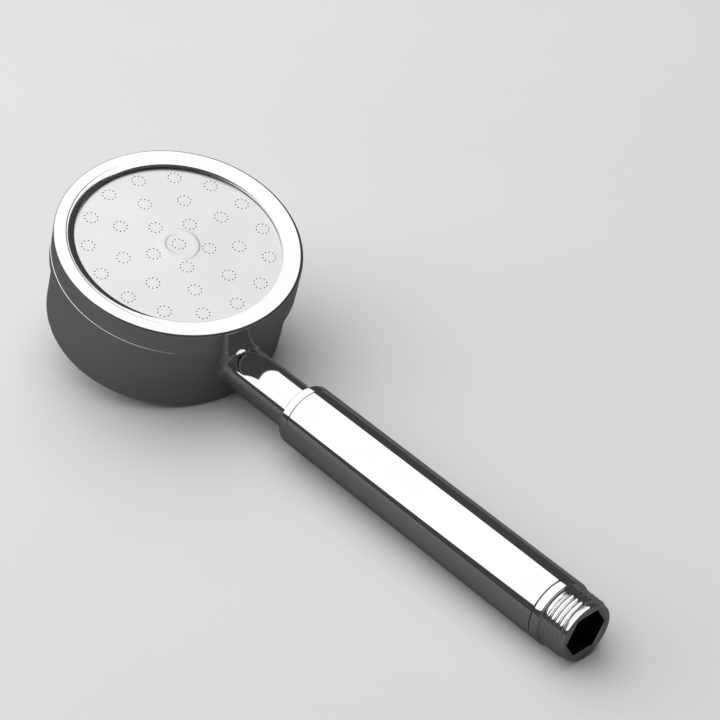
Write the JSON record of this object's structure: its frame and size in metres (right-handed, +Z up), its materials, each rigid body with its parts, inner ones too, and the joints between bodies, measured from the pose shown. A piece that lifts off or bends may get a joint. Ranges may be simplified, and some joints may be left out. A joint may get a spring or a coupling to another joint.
{
  "type": "handheld shower head",
  "caption": "Polished round handheld shower head with a screw-on spray face, a slim neck, a sleeved handle and a G1/2 male hose inlet.",
  "frame": {"origin": "centre of the bounding box in plan, on the surface that the head lies on", "axes": "+X along the handle from the head to the hose inlet, +Z up from the surface that it lies on, spray face up, mirror plane at Y = 0"},
  "size_m": [0.2508, 0.0858, 0.0617],
  "materials": {
    "polished_chrome": "mirror-polished chrome plate over metal",
    "satin_steel": "fine satin stainless steel",
    "seal_rubber": "smooth black rubber",
    "moulded_plastic": "plain off-white moulding"
  },
  "bodies": {
    "head": {"head_shell": "polished_chrome", "distributor_disc": "moulded_plastic", "distributor_screw_1": "satin_steel", "distributor_screw_2": "satin_steel", "distributor_screw_3": "satin_steel", "neck_o_ring_upper": "seal_rubber", "neck_o_ring_lower": "seal_rubber", "collar_bush": "polished_chrome", "collar_o_ring": "seal_rubber", "handle_tube": "polished_chrome", "water_pipe": "moulded_plastic", "pipe_o_ring_upper": "seal_rubber", "pipe_o_ring_lower": "seal_rubber"},
    "spray_face": {"spray_plate": "satin_steel", "plate_gasket": "seal_rubber"},
    "face_ring": {"face_ring": "polished_chrome"},
    "inlet_seal": {"inlet_o_ring": "seal_rubber"},
    "inlet": {"inlet_fitting": "polished_chrome"},
    "cartridge": {"flow_restrictor": "moulded_plastic", "restrictor_o_ring": "seal_rubber", "filter_frame": "moulded_plastic", "filter_screen": "satin_steel"}
  },
  "joints": [
    {"name": "face_lift", "type": "slide", "parent": "head", "child": "spray_face", "axis": [0.298, 0, 0.9546], "range_m": [0, 0.006]},
    {"name": "ring_turn", "type": "hinge", "parent": "spray_face", "child": "face_ring", "pos_m": [-0.07518, 0, 0.04719], "axis": [0.298, 0, 0.9546], "range_deg": [0, 1440]},
    {"name": "inlet_travel", "type": "slide", "parent": "head", "child": "inlet_seal", "axis": [0.9997, 0, -0.0233], "range_m": [0, 0.0075]},
    {"name": "inlet_turn", "type": "hinge", "parent": "inlet_seal", "child": "inlet", "pos_m": [-0.08501, 0, 0.01569], "axis": [0.9997, 0, -0.0233], "range_deg": [0, 2160]},
    {"name": "cartridge_pull", "type": "slide", "parent": "inlet", "child": "cartridge", "axis": [0.9997, 0, -0.0233], "range_m": [0, 0.024]}
  ],
  "couplings": [
    {"joint": "face_lift", "follows": "ring_turn", "m_per_rad": 0.00023873},
    {"joint": "inlet_travel", "follows": "inlet_turn", "m_per_rad": 0.00019894}
  ]
}
